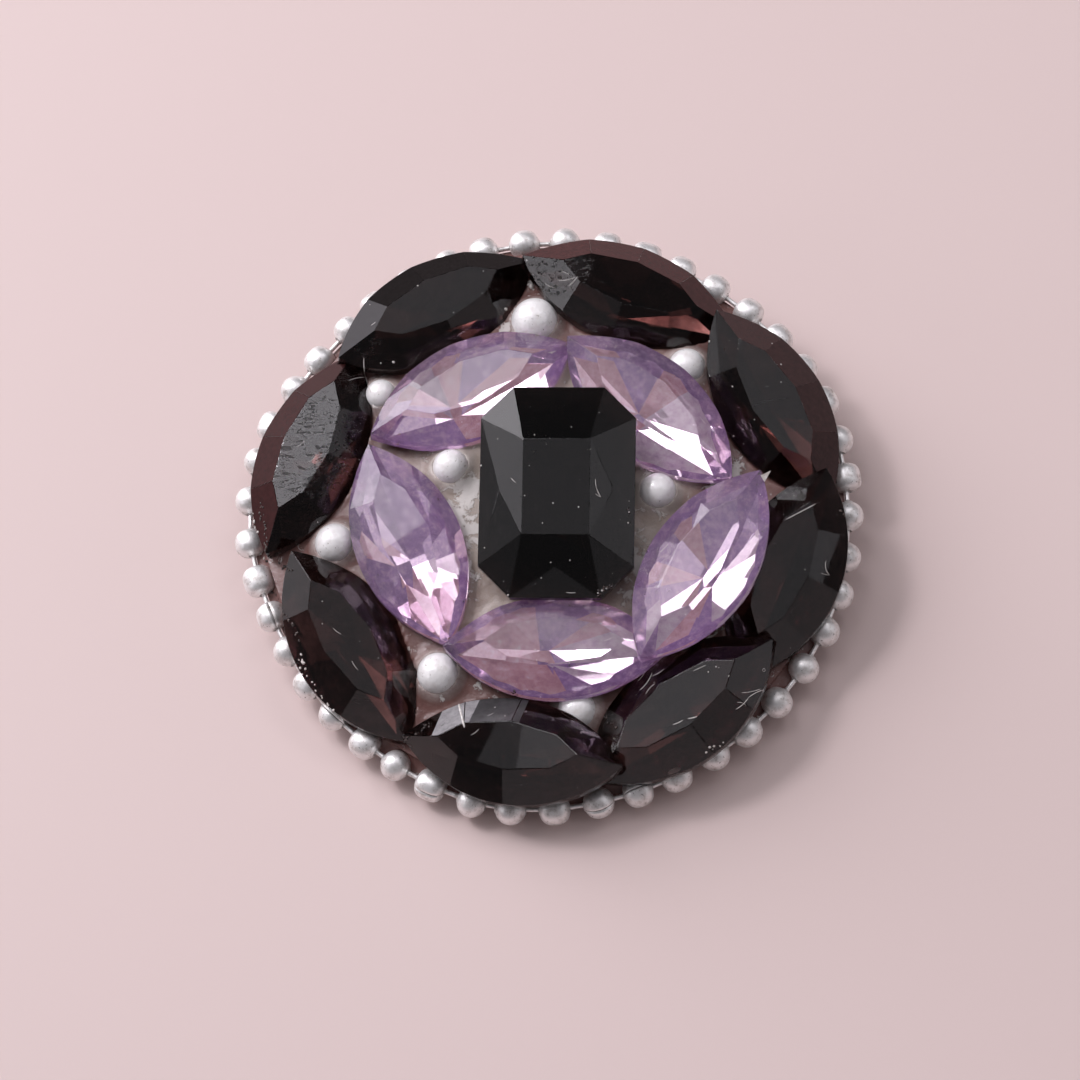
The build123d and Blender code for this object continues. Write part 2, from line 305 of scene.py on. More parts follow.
def lilac_foil(name, *shades):
    m = Mat(name)
    cloud = m.noise(0.8, 4.0, 0.68)
    c = m.steps(cloud, list(zip((0.30, 0.48, 0.62, 0.76), shades)))
    m.surface(IOR=5.6, Specular_Tint=(1.0, 0.93, 0.95), Roughness=0.05, Base_Color=c)
    return m.m


def black_glass():
    m = Mat("black_glass")
    s = m.scratches(-0.8, 0.033, cover=0.62)
    rough = m.math("MAXIMUM", m.math("MULTIPLY", s, 0.25), 0.012)
    m.surface(Transmission_Weight=1.0, IOR=1.54, Roughness=rough, Base_Color=(1.0, 1.0, 1.0))
    m.absorb((0.45, 0.36, 0.34), 1000.0)
    return m.m


def lacquer():
    m = Mat("back_lacquer")
    n = m.noise(0.5, 4.0, 0.7)
    c = m.steps(n, [(0.4, (0.010, 0.008, 0.008)), (0.75, (0.035, 0.026, 0.024))])
    m.surface(Roughness=0.38, Base_Color=c, Normal=m.bump(n, 0.5, 0.06))
    return m.m


def pearl_mat():
    m = Mat("pearl")
    soft = m.noise(0.8, 3.0, 0.62)
    c = m.steps(soft, [(0.30, (0.86, 0.83, 0.81)), (0.46, (0.975, 0.965, 0.955)), (0.75, (0.99, 0.985, 0.98))])
    pits = m.steps(m.noise(0.34, 3.0, 0.6), [(0.645, 0.0), (0.70, 1.0)])
    c = m.mix(m.math("MULTIPLY", pits, 0.65), c, (0.26, 0.21, 0.18))
    bump = m.bump(m.math("SUBTRACT", soft, m.math("MULTIPLY", pits, 0.25)), 0.7, 0.13)
    m.surface(Roughness=m.steps(soft, [(0.3, 0.36), (0.7, 0.26)]), Base_Color=c, Normal=bump, IOR=1.9,
              Coat_Weight=0.5, Coat_Roughness=0.16, Sheen_Weight=0.6, Sheen_Roughness=0.5)
    return m.m


# where whitish crust lies on the glue: place in the flat frame, and reach
CRUST = [((-7.3, -1.2, 5.0), 3.6), ((-6.6, 1.6, 5.0), 2.0), ((8.0, -5.4, 5.0), 3.2), ((-7.6, -5.6, 4.9), 2.6),
         ((9.3, 3.5, 5.0), 2.2), ((-2.8, 14.9, 4.2), 2.2), ((14.6, 2.6, 4.2), 2.4), ((-18.9, -8.0, 2.6), 3.0)]


def glue_mat():
    m = Mat("clear_glue")
    co = m.node("ShaderNodeTexCoord")
    m.co = co
    d = m.node("ShaderNodeVectorMath", operation="DISTANCE")
    m.link(co.outputs["Object"], d.inputs[0])
    d.inputs[1].default_value = at(0.0, 0.5, 4.0)
    far = m.math("ADD", m.math("MULTIPLY", d.outputs["Value"], 1.0 / (24 * MM)),
                 m.math("MULTIPLY", m.math("SUBTRACT", m.noise(4.0, 3.0), 0.5), 0.30))
    c = m.steps(far, [(0.30, (0.40, 0.335, 0.285)), (0.45, (0.33, 0.255, 0.215)), (0.58, (0.185, 0.096, 0.084)),
                      (0.95, (0.175, 0.084, 0.074))])
    blot = m.steps(m.noise(0.9, 5.0, 0.7), [(0.44, 0.0), (0.70, 0.55)])
    blot = m.math("MULTIPLY", blot, m.steps(far, [(0.42, 1.0), (0.62, 0.25)]))
    c = m.mix(blot, c, (0.42, 0.36, 0.33))
    crust = None
    for place, reach in CRUST:
        n = m.near(place, reach)
        crust = n if crust is None else m.math("MAXIMUM", crust, n)
    haze = None
    for _, x, y, z, r in PEARLS:
        n = m.near((x, y, z), r + 1.1)
        haze = n if haze is None else m.math("MAXIMUM", haze, n)
    haze = m.math("MULTIPLY", m.steps(haze, [(0.12, 0.0), (0.42, 0.62)]), m.steps(m.noise(0.7, 4.0, 0.65), [(0.32, 0.45), (0.6, 1.0)]))
    c = m.mix(haze, c, (0.66, 0.61, 0.575))
    fine = m.noise(0.40, 4.0, 0.75)
    flake = m.noise(1.3, 5.0, 0.72, distort=0.6, shift=(0.003, 0.001, 0.0))
    crust = m.math("ADD", m.math("MULTIPLY", crust, 0.30), m.math("ADD", flake, m.math("MULTIPLY", fine, 0.22)))
    crust = m.steps(crust, [(0.725, 0.0), (0.775, 1.0)])
    c = m.mix(m.math("MULTIPLY", crust, 0.85), c, (0.74, 0.71, 0.68))
    height = m.math("ADD", m.math("MULTIPLY", fine, 0.6), m.math("MULTIPLY", crust, 0.5))
    m.surface(Roughness=m.steps(crust, [(0.0, 0.24), (1.0, 0.7)]), Base_Color=c,
              Normal=m.bump(height, 0.7, 0.13))
    return m.m


def chain_mat():
    m = Mat("silver_chain")
    blot = m.noise(0.75, 5.0, 0.66)
    c = m.steps(blot, [(0.28, (0.44, 0.41, 0.385)), (0.40, (0.74, 0.72, 0.70)), (0.52, (0.93, 0.925, 0.915)),
                       (0.8, (0.98, 0.98, 0.975))])
    pits = m.steps(m.noise(0.20, 2.0, 0.5, shift=(0.3, 0.1, 0.2)), [(0.67, 0.0), (0.72, 1.0)])
    c = m.mix(m.math("MULTIPLY", pits, 0.65), c, (0.08, 0.065, 0.055))
    rough = m.steps(blot, [(0.30, 0.52), (0.60, 0.38)])
    h = m.math("SUBTRACT", m.noise(0.28, 4.0, 0.6), m.math("MULTIPLY", pits, 0.5))
    m.surface(Metallic=0.68, Roughness=rough, Base_Color=c, Normal=m.bump(h, 0.6, 0.03))
    return m.m


def seam_mat():
    m = Mat("chain_seam")
    c = m.steps(m.noise(0.25, 3.0, 0.6), [(0.4, (0.035, 0.028, 0.025)), (0.7, (0.22, 0.19, 0.17))])
    m.surface(Metallic=0.4, Roughness=0.6, Base_Color=c)
    return m.m


def dust_and_glint_mat():
    # light grey dust colour, also used for a painted highlight line along a stone edge
    m = Mat("dust")
    c = m.steps(m.noise(0.3, 2.0), [(0.3, (0.62, 0.58, 0.54)), (0.7, (0.86, 0.84, 0.82))])
    m.surface(Roughness=0.55, Base_Color=c)
    return m.m


def residue_mat():
    m = Mat("dark_residue")
    c = m.steps(m.noise(0.25, 3.0, 0.7), [(0.45, (0.020, 0.015, 0.014)), (0.75, (0.16, 0.12, 0.105))])
    m.surface(Roughness=0.22, Base_Color=c)
    return m.m


def drop_mat():
    m = Mat("glue_drop")
    c = m.steps(m.noise(0.4, 3.0), [(0.35, (0.55, 0.50, 0.46)), (0.7, (0.80, 0.78, 0.76))])
    m.surface(Roughness=0.12, Base_Color=c, IOR=1.5)
    return m.m


def pin_mat():
    m = Mat("pin_metal")
    brush = m.noise(0.25, 3.0, 0.6, scale=(0.04, 1, 1))
    c = m.steps(m.noise(3.0, 4.0, 0.6), [(0.35, (0.52, 0.49, 0.46)), (0.65, (0.70, 0.69, 0.67))])
    m.surface(Metallic=1.0, Roughness=m.steps(brush, [(0.3, 0.24), (0.7, 0.40)]), Base_Color=c,
              Normal=m.bump(brush, 0.3, 0.01))
    return m.m


SMOKE, SMOKE_WORN, SMOKE_BACK = smoky_glass(False), smoky_glass(True), dark_foil()
LILAC, LILAC_FOILS = lilac_glass(), [lilac_foil(*row) for row in LILAC_BACKS]
BLACK, LACQUER = black_glass(), lacquer()
PEARL, GLUE, CHAIN, PIN = pearl_mat(), glue_mat(), chain_mat(), pin_mat()
DUST_AND_GLINT, RESIDUE, DROP, SEAM = dust_and_glint_mat(), residue_mat(), drop_mat(), seam_mat()


# ---------------------------------------------------------------- pieces
def piece(name, bm_or_mesh, mats, node=None):
    if isinstance(bm_or_mesh, bmesh.types.BMesh):
        me = bpy.data.meshes.new(name)
        bm_or_mesh.to_mesh(me)
        bm_or_mesh.free()
    else:
        me = bm_or_mesh
    for m in mats:
        me.materials.append(m)
    ob = bpy.data.objects.new(name, me)
    bpy.context.scene.collection.objects.link(ob)
    if node:
        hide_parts(node)
    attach(ob, "root")
    return ob


def dress(name, mat):
    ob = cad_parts[name]
    ob.data.materials.clear()
    ob.data.materials.append(mat)
    return ob


GIRDLE = 0.45
# The navettes' hidden backs aren't all cut alike: how far a back's lowest point
# lies along and across the stone, in mm, and its depth as a share of the solid's
BACKS = {
    # name: (along, across, depth)
    "inner_navette_1": (-1.80, -0.30, 0.66), "inner_navette_2": (-0.19, -0.70, 0.797),
    "inner_navette_3": (0.33, 0.59, 0.63), "inner_navette_4": (0.94, -0.05, 0.797),
    "inner_navette_5": (-1.30, 0.42, 0.75), "outer_navette_7": (-0.47, -0.30, 0.691),
}
# past a place along the stone, all its back facets have one colour
FOIL_SIDES = {"inner_navette_2": (1.5, 3), "inner_navette_4": (0.5, 2)}
FOIL_SEEDS = {"inner_navette_1": 3, "inner_navette_2": 4, "inner_navette_3": 5, "inner_navette_4": 6, "inner_navette_5": 7}
casters = []                # (tree, name) of what the camera and small details can land on


def back_shell(bm, name):
    """Thin lacquer over the stone's reflecting back, in the pocket's clearance."""
    near, far = 0.008 * MM, 0.030 * MM
    backs = [f for f in bm.faces if f.material_index]
    lean = {}
    for f in backs:
        for v in f.verts:
            lean[v] = lean.get(v, Vector()) + f.normal
    shell = bmesh.new()
    low = {v: shell.verts.new(v.co + n.normalized() * near) for v, n in lean.items()}
    top = {v: shell.verts.new(v.co + n.normalized() * far) for v, n in lean.items()}
    for f in backs:
        shell.faces.new([top[v] for v in f.verts])
        shell.faces.new([low[v] for v in reversed(f.verts)])
        for loop in f.loops:
            if sum(1 for g in loop.edge.link_faces if g.material_index) == 1:
                a, b = loop.vert, loop.link_loop_next.vert
                shell.faces.new((top[b], top[a], low[a], low[b]))
    piece(name + "_back", shell, [LACQUER])


def cut_stone(row, glass, backs):
    """The stone's facets as in the solid, with edges rounded as polished glass
    is, and a reflecting back under the girdle."""
    name = row[0]
    own = (FLAT @ seat_of(row)).inverted()
    bm = bmesh.new()
    bm.from_mesh(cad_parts[name].data)
    bmesh.ops.remove_doubles(bm, verts=bm.verts, dist=2e-6)
    bmesh.ops.dissolve_limit(bm, angle_limit=math.radians(0.4), verts=bm.verts, edges=bm.edges)
    bm.normal_update()
    turn = own.to_3x3()
    side = set()
    lowest = min((own @ v.co).z for v in bm.verts)
    rnd = random.Random(FOIL_SEEDS.get(name, 1))
    for f in bm.faces:
        n = (turn @ f.normal).normalized()
        mid = own @ f.calc_center_median()
        f.material_index = 1 if n.z < -0.12 and mid.z < -GIRDLE + 0.05 else 0
        if f.material_index and len(backs) > 1 and min((own @ v.co).z for v in f.verts) < lowest + 0.15:
            f.material_index = rnd.choice((1, 1, 1, 2, 2, 3))
            from_x, foil = FOIL_SIDES.get(name, (99, 0))
            if mid.x > from_x:
                f.material_index = foil
        f.smooth = False
        if abs(n.z) < 0.12 and name != "centre_octagon":
            side.add(f)
            f.smooth = True
    if name in BACKS:
        along, across, share = BACKS[name]
        lows = [(v, own @ v.co) for v in bm.verts]
        lows = [(v, q) for v, q in lows if q.z < -GIRDLE - 0.001]
        deep = max(-GIRDLE - q.z for v, q in lows)
        for v, q in lows:
            d = -GIRDLE - q.z
            v.co = FLAT @ seat_of(row) @ Vector((q.x + along * d / deep, q.y + across * d / deep, -GIRDLE - share * d))
        bm.normal_update()
    least = math.radians(1.2 if name == "centre_octagon" else 6.0)
    edges = []
    for e in bm.edges:
        if len(e.link_faces) != 2:
            continue
        a, b = e.link_faces
        if a.material_index and b.material_index or (a in side and b in side):
            continue
        if e.calc_face_angle(0.0) > least:
            edges.append(e)
    bmesh.ops.bevel(bm, geom=edges, offset=0.045 * MM, segments=2, profile=0.6, affect="EDGES",
                    clamp_overlap=True)
    bm.normal_update()
    casters.append((BVHTree.FromBMesh(bm), name))
    back_shell(bm, name)
    return piece(name + "_cut", bm, [glass] + backs, name)


for row in NAVETTES:
    if row[0].startswith("outer"):
        cut_stone(row, SMOKE_WORN if row[0][-1] in "128" else SMOKE, [SMOKE_BACK])
    else:
        cut_stone(row, LILAC, LILAC_FOILS)
cut_stone(OCTAGON, BLACK, [SMOKE_BACK])

for i in range(1, 9):
    ob = dress(f"pearl_{i}", PEARL)
    bm = bmesh.new()
    bm.from_mesh(ob.data)
    casters.append((BVHTree.FromBMesh(bm), ob.name))
    bm.free()
dress("base", GLUE)
dress("back_pin", PIN)


# ---------------------------------------------------------------- ball chain
ROUTE = [
    # angle, radius: as the solid's route
    (0, 24.80), (20, 25.00), (40, 24.62), (60, 24.60), (80, 25.05), (100, 25.10),
    (120, 24.90), (140, 24.50), (160, 25.40), (180, 25.62), (200, 24.45), (220, 24.38),
    (240, 24.52), (260, 25.32), (280, 24.80), (300, 24.68), (320, 24.85), (340, 24.95),
]
BALLS, FIRST_BALL = 45, -89.2
BALL_R, BALL_Z = 1.27, 1.27


def chain_radius():
    """Distance from the middle against angle, along a smooth line by the route."""
    pts = [Vector((r * math.cos(math.radians(t)), r * math.sin(math.radians(t)))) for t, r in ROUTE]
    out = []
    for i, p in enumerate(pts):
        a, b = (pts[i - 1] + p) / 2, (p + pts[(i + 1) % len(pts)]) / 2
        for k in range(24):
            t = k / 24
            q = a * (1 - t) ** 2 + p * 2 * t * (1 - t) + b * t * t
            out.append((math.atan2(q.y, q.x) % (2 * math.pi), q.length))
    return sorted(out)


RADII = chain_radius()


def chain_at(deg):
    t = math.radians(deg) % (2 * math.pi)
    for (a, ra), (b, rb) in zip(RADII, RADII[1:]):
        if a <= t <= b:
            r = ra + (rb - ra) * (t - a) / max(b - a, 1e-9)
            break
    else:
        r = RADII[0][1]
    return Vector((r * math.cos(t), r * math.sin(t), BALL_Z))


def ball_profile(squash, steps=15):
    """(along the axis, away from it) of one ball from hole to hole, and into it."""
    out = [(-0.80, 0.20), (-1.02, 0.27)]
    first = math.asin(0.30)
    for i in range(steps + 1):
        t = first + (math.pi - 2 * first) * i / steps
        c, s = -math.cos(t), math.sin(t)
        r = 1.0 / (abs(c) ** squash + abs(s) ** squash) ** (1.0 / squash)
        out.append((c * r, s * r))
    return out + [(1.02, 0.27), (0.80, 0.20)]


def add_ball(bm, place, squash, size, along, seam_depth, rnd):
    prof = ball_profile(squash)
    around = [2 * math.pi * i / 26 for i in range(26)]
    seam = rnd.random() * 2 * math.pi
    around = sorted([a for a in around if min(abs(a - s) for s in (seam, seam - 2 * math.pi, seam + 2 * math.pi)) > 0.10]
                    + [(seam + d) % (2 * math.pi) for d in (-0.075, -0.028, 0.028, 0.075)])
    dents = [(Vector((rnd.uniform(-1, 1), rnd.uniform(-1, 1), rnd.uniform(-1, 1))).normalized(), rnd.uniform(0.25, 0.5),
              rnd.uniform(0.01, 0.035)) for _ in range(3)]
    rings = []
    for x, r in prof:
        ring = []
        for a in around:
            near_seam = min(abs(a - s) for s in (seam, seam - 2 * math.pi, seam + 2 * math.pi)) < 0.04
            rr = r * (1.0 - (seam_depth if near_seam else 0.0))
            p = Vector((x * along, rr * math.cos(a), rr * math.sin(a)))
            for d, wide, deep in dents:
                gap = (p.normalized() - d).length
                if gap < wide:
                    p *= 1.0 - deep * (1 - gap / wide) ** 2
            ring.append(bm.verts.new(place @ (p * size)))
        rings.append(ring)
    n = len(around)
    for ring, nxt in zip(rings, rings[1:]):
        for k in range(n):
            f = bm.faces.new((ring[k], ring[(k + 1) % n], nxt[(k + 1) % n], nxt[k]))
            if seam_depth and abs(math.remainder(around[k] - seam + 0.028, 2 * math.pi)) < 0.01:
                f.material_index = 1
    bm.faces.new(list(reversed(rings[0])))
    bm.faces.new(rings[-1])


def add_rod(bm, a, b, radius, sides=10, waist=0.8):
    axis = (b - a).normalized()
    u = axis.orthogonal().normalized()
    v = axis.cross(u)
    rings = []
    for t, w in ((0, 1.0), (0.3, waist), (0.7, waist), (1, 1.0)):
        c = a.lerp(b, t)
        rings.append([bm.verts.new(FLAT @ (c + (u * math.cos(q) + v * math.sin(q)) * radius * w))
                      for q in (2 * math.pi * k / sides for k in range(sides))])
    for ring, nxt in zip(rings, rings[1:]):
        for k in range(sides):
            bm.faces.new((ring[k], ring[(k + 1) % sides], nxt[(k + 1) % sides], nxt[k]))
    bm.faces.new(list(reversed(rings[0])))
    bm.faces.new(rings[-1])


def ball_chain():
    rnd = random.Random(11)
    bm = bmesh.new()
    spots = []
    for i in range(BALLS):
        deg = FIRST_BALL + 8.0 * i + rnd.uniform(-0.35, 0.35)
        c = chain_at(deg)
        c.z += rnd.uniform(-0.03, 0.03)
        spots.append((deg, c))
    for i, (deg, c) in enumerate(spots):
        ahead = (chain_at(deg + 1) - chain_at(deg - 1)).normalized()
        ahead = (ahead + Vector((rnd.uniform(-0.08, 0.08), rnd.uniform(-0.08, 0.08), rnd.uniform(-0.08, 0.08)))).normalized()
        out = Vector((c.x, c.y, 0)).normalized()
        v = ahead.cross(out).normalized()
        u = v.cross(ahead)
        m = Matrix((ahead, u, v)).transposed().to_4x4()
        m.translation = c
        add_ball(bm, FLAT @ m, rnd.choice((2.05, 2.2, 2.5, 3.0)), BALL_R, rnd.uniform(0.93, 1.0),
                 rnd.choice((0.0, 0.05, 0.07, 0.09)), rnd)
    for (_, a), (_, b) in zip(spots, spots[1:] + spots[:1]):
        d = (b - a).normalized()
        add_rod(bm, a + d * BALL_R * 0.78, b - d * BALL_R * 0.78, 0.25)
    for f in bm.faces:
        f.smooth = True
    bmesh.ops.recalc_face_normals(bm, faces=bm.faces)
    return piece("ball_chain_beads", bm, [CHAIN, SEAM], "ball_chain")


ball_chain()

# ---------------------------------------------------------------- glue skin
DOME_TOP, DOME_R = 5.0, (23.5 ** 2 + 2.9 ** 2) / (2 * 2.9)
STEP = 0.25
solids = [tree for tree, name in casters if not name.startswith("pearl")]
spots = {row[0]: (row[1], row[2]) for row in NAVETTES + [OCTAGON]}
spans = [(spots[name], 10.2) for tree, name in casters if name in spots]
COLLAR, COLLAR_REACH = 0.62, 0.55       # how high glue climbs round a pearl, and how far out


def glue_level(x, y):
    """Height of the glue between the stones, falling away to the chain."""
    r = math.hypot(x, y)
    if r > 23.4:
        z = 2.1
    else:
        z = DOME_TOP - DOME_R + math.sqrt(DOME_R ** 2 - r * r) + 0.06
    edge = chain_at(math.degrees(math.atan2(y, x))).xy.length
    t = min(max((r - (edge - 2.6)) / 2.3, 0.0), 1.0)
    z += (1.05 - z) * t * t * (3 - 2 * t)
    p = Vector((x, y, 0.0))
    z += 0.09 * noise.noise(p * 0.55) + 0.05 * noise.noise(p * 1.6 + Vector((9, 0, 0))) * (1 - 0.5 * t)
    return z, t


def around(x, y, z):
    """(inside a stone, distance to the nearest one, its place) at a point of the flat frame."""
    p = at(x, y, z)
    inside, best, spot = False, 9.0, None
    for tree, ((cx, cy), reach) in zip(solids, spans):
        if math.hypot(x - cx, y - cy) > reach + 1.2:
            continue
        hit = tree.find_nearest(p)
        if hit[0] is None:
            continue
        d = hit[3] / MM
        if d < best:
            best, spot = d, hit[0]
            inside = (p - hit[0]).dot(hit[1]) < 0
    return inside, best, spot


def ceiling(p, reach_mm):
    """How far above a place the underside of a stone is."""
    low = reach_mm
    for tree in solids:
        hit = tree.ray_cast(p, Vector((0, 0, 1)), reach_mm * MM)
        if hit[0] is not None:
            low = min(low, hit[3] / MM)
    return low


def collar(x, y, z):
    """(rise of the glue towards a pearl, place on the pearl or None, whether it is
    under the pearl's middle) at a point of the flat frame."""
    rise, spot, deep = 0.0, None, False
    for _, px, py, pz, pr in PEARLS:
        h = math.hypot(x - px, y - py)
        if h > pr + 2.0:
            continue
        up = COLLAR * (1.0 + 0.35 * noise.noise(Vector((x, y, 7.0)) * 1.1))
        top = max(z + up, pz + 0.15)
        ring = math.sqrt(max(pr * pr - (top - pz) ** 2, 0.05))
        gap = h - ring
        if gap < 0:
            spot, deep = Vector((px + (x - px) / h * (ring - 0.015), py + (y - py) / h * (ring - 0.015), top)), gap < -0.5
            rise = top - z
        else:
            rise = max(rise, (top - z) * math.exp(-(gap / COLLAR_REACH) ** 1.4))
    return rise, spot, deep


def glue_skin():
    bm = bmesh.new()
    n = int(25.4 / STEP)
    grid, outside = {}, set()
    for i in range(-n, n + 1):
        for j in range(-n, n + 1):
            x, y = i * STEP, j * STEP
            r = math.hypot(x, y)
            edge = chain_at(math.degrees(math.atan2(y, x))).xy.length - 0.30
            if r > edge + 0.5 * STEP:
                outside.add((i, j))
                continue
            if r > edge - 0.5 * STEP:
                x, y = x * edge / r, y * edge / r
            z, t = glue_level(x, y)
            inside, d, spot = around(x, y, z)
            if inside and d > 0.5:
                continue
            if inside:
                inside2, d2, spot2 = around(x, y, z + 0.12)
                q = UNFLAT @ (spot2 if spot2 is not None else spot)
                if q.z > z + 0.30:
                    q = UNFLAT @ spot
                grid[i, j] = (q, True, t)
                continue
            rise = 0.22 * math.exp(-d / 0.35) * (1 - 0.6 * t) * (1.0 + 0.5 * noise.noise(Vector((x, y, 4.0)) * 0.8))
            climb, spot, deep = collar(x, y, z)
            if deep:
                continue
            if spot is not None:
                room = ceiling(at(x, y, z), 1.2) - 0.02
                grid[i, j] = (Vector((spot.x, spot.y, min(spot.z, z + room))), True, t)
                continue
            rise = min(max(rise, climb), ceiling(at(x, y, z), 1.2) - 0.02)
            grid[i, j] = (Vector((x, y, z + rise)), False, t)
    top, low = {}, {}
    for (i, j), (q, snapped, t) in grid.items():
        top[i, j] = bm.verts.new(FLAT @ q)
        depth = 0.3 if t < 0.5 else max(0.3, q.z - 0.12)
        low[i, j] = bm.verts.new(FLAT @ (q - Vector((0, 0, depth))))
    cells = []
    for i in range(-n, n):
        for j in range(-n, n):
            ring = [(i, j), (i + 1, j), (i + 1, j + 1), (i, j + 1)]
            gone = [c for c in ring if c not in grid]
            ring = [c for c in ring if c in grid]
            if len(gone) > 1 or any(c not in outside for c in gone) or all(grid[c][1] for c in ring):
                continue
            cells.append(ring)
    edges = {}
    for ring in cells:
        bm.faces.new([top[c] for c in ring])
        bm.faces.new([low[c] for c in reversed(ring)])
        for a, b in zip(ring, ring[1:] + ring[:1]):
            if (b, a) in edges:
                del edges[b, a]
            else:
                edges[a, b] = True
    for a, b in edges:
        bm.faces.new((top[b], top[a], low[a], low[b]))
    for v in [v for v in bm.verts if not v.link_faces]:
        bm.verts.remove(v)
    rim = [top[c] for c in grid if grid[c][1] and top[c].is_valid] + [low[c] for c in grid if grid[c][1] and low[c].is_valid]
    for _ in range(2):
        bmesh.ops.smooth_vert(bm, verts=rim, factor=0.35, use_axis_x=True, use_axis_y=True, use_axis_z=True)
    for f in bm.faces:
        f.smooth = True
    bm.normal_update()
    casters.append((BVHTree.FromBMesh(bm), "glue_skin"))
    print("glue skin faces", len(bm.faces))
    return piece("glue_skin", bm, [GLUE])


glue_skin()

# ---------------------------------------------------------------- small marks
# Fine scratches and hairs, and one painted highlight line: two picture points, how far the line bows, radius in mm
HAIRS_AND_EDGE_GLINT = [
    # u0, v0, u1, v1, bow, radius
    (363.9, 357.7, 371.3, 392.6, 2.5, 0.040), (349.0, 380.6, 368.0, 377.8, -1.5, 0.018),
    (371.0, 325.5, 375.6, 322.0, 0.3, 0.030), (558.5, 280.5, 575.4, 277.3, 1.0, 0.022),
    (569.0, 285.8, 577.6, 276.3, 0.6, 0.030), (545.0, 283.0, 556.0, 288.0, 1.2, 0.016),
    # the row from (786.0, 519.5) to (815.5, 504.0) is a painted highlight along the edge of outer_navette_4's table,
    # drawn as a thin light line
    (561.0, 270.0, 570.0, 274.0, 0.8, 0.015), (786.0, 519.5, 815.5, 504.0, 0.0, 0.026),
    (735.7, 709.3, 748.5, 697.5, 1.2, 0.026), (748.5, 697.5, 763.8, 689.8, -1.0, 0.026),
    (741.7, 692.7, 760.5, 689.0, 0.8, 0.020), (737.0, 702.5, 746.0, 705.5, -1.4, 0.018),
    (762.2, 670.0, 765.4, 670.0, 1.6, 0.015), (762.2, 670.0, 765.4, 670.0, -1.6, 0.015),
    (595.4, 479.0, 596.3, 487.7, 0.2, 0.022), (596.3, 487.7, 600.6, 497.0, 0.3, 0.026),
    (595.4, 493.8, 600.6, 497.0, 0.2, 0.018), (511.0, 478.0, 515.5, 482.5, 0.2, 0.020),
    (566.0, 592.3, 575.4, 592.6, 0.4, 0.024), (693.0, 671.0, 705.8, 665.2, 0.0, 0.016),
    (640.0, 690.0, 652.0, 673.0, 1.5, 0.020), (646.0, 694.0, 655.0, 684.0, -1.2, 0.018),
    (652.0, 676.0, 664.0, 669.0, 0.8, 0.016), (638.0, 681.0, 645.0, 672.0, 0.5, 0.015),
    (826.0, 561.0, 829.5, 575.0, 2.2, 0.026), (821.0, 573.0, 829.5, 575.0, 0.5, 0.018),
    (604.0, 640.5, 612.0, 637.5, 0.6, 0.020), (548.0, 352.5, 556.0, 351.0, 0.4, 0.026),
    (673.0, 724.5, 683.0, 720.0, 0.6, 0.030), (688.0, 718.5, 697.0, 716.5, 0.4, 0.034),
    (459.0, 704.5, 464.5, 727.5, 0.0, 0.085), (471.0, 735.0, 479.0, 729.0, 0.6, 0.018), (487.0, 716.0, 494.0, 712.5, 0.5, 0.016),
    (296.0, 447.0, 305.0, 441.0, 0.6, 0.020), (309.0, 462.0, 317.0, 455.0, 0.4, 0.018),
    (333.0, 628.0, 341.0, 634.0, 0.6, 0.018), (352.0, 661.0, 358.0, 670.0, 0.6, 0.018),
    (700.0, 417.0, 706.0, 424.0, 0.4, 0.016), (660.0, 552.0, 668.0, 544.0, 0.5, 0.016),
]
# Specks of dust and crumbs of dried glue: picture point and radius in mm
SPECKS = [
    # u, v, radius
    (505.6, 309.0, 0.13), (393.5, 362.0, 0.12), (380.8, 363.0, 0.07), (417.8, 285.8, 0.07), (360.7, 309.0, 0.08),
    (551.7, 353.0, 0.06), (526.8, 260.4, 0.08), (709.4, 341.4, 0.08), (772.0, 343.6, 0.05), (781.0, 364.5, 0.06),
    (732.5, 386.6, 0.06), (754.5, 419.6, 0.05), (733.6, 436.0, 0.06), (794.0, 495.6, 0.07), (716.0, 666.8, 0.05),
    (728.8, 676.0, 0.05), (708.3, 671.9, 0.05), (497.5, 439.0, 0.05), (534.5, 434.8, 0.05), (571.4, 427.0, 0.05),
    (578.5, 507.0, 0.05), (553.0, 503.0, 0.05), (542.5, 523.0, 0.04), (484.6, 547.7, 0.06), (481.0, 465.5, 0.10),
    (495.0, 707.4, 0.06), (489.0, 698.0, 0.05), (505.0, 716.0, 0.05), (602.0, 590.5, 0.08), (606.5, 588.5, 0.07),
    (611.0, 586.0, 0.06), (628.0, 523.0, 0.07), (629.0, 512.0, 0.06), (598.0, 593.0, 0.07), (508.0, 595.0, 0.07),
]
# Thin film layers on crown facets whose colour is painted reflection: the grey one on outer_navette_6 paints a bright
# reflection, and the near black and maroon ones paint the dark reflections of shade that these rim facets mirror. The
# layers also carry dark specks of dirt.
PAINTED_REFLECTION_FILMS = [
    # stone, from and to along it, which side of it, which facets by the bearing they face, colour, roughness, IOR
    ("outer_navette_6", 3.4, 6.3, -1, 0, 180, (0.30, 0.29, 0.30), 0.32, 1.5),
    ("outer_navette_6", -0.6, 3.4, -1, 0, 180, (0.055, 0.053, 0.055), 0.32, 1.5),
    ("outer_navette_1", -9.2, 9.2, 1, 0, 112, (0.008, 0.007, 0.007), 0.22, 1.08),
    ("outer_navette_1", -9.2, 9.2, 1, 112, 180, (0.011, 0.011, 0.014), 0.30, 1.35),
    ("outer_navette_2", -9.2, 9.2, 1, 0, 180, (0.050, 0.013, 0.013), 0.08, 1.20),
    ("outer_navette_3", -9.2, 9.2, 1, 0, 180, (0.036, 0.015, 0.015), 0.08, 1.30),
    ("outer_navette_8", -9.2, 9.2, 1, 0, 180, (0.036, 0.010, 0.010), 0.08, 1.19),
]
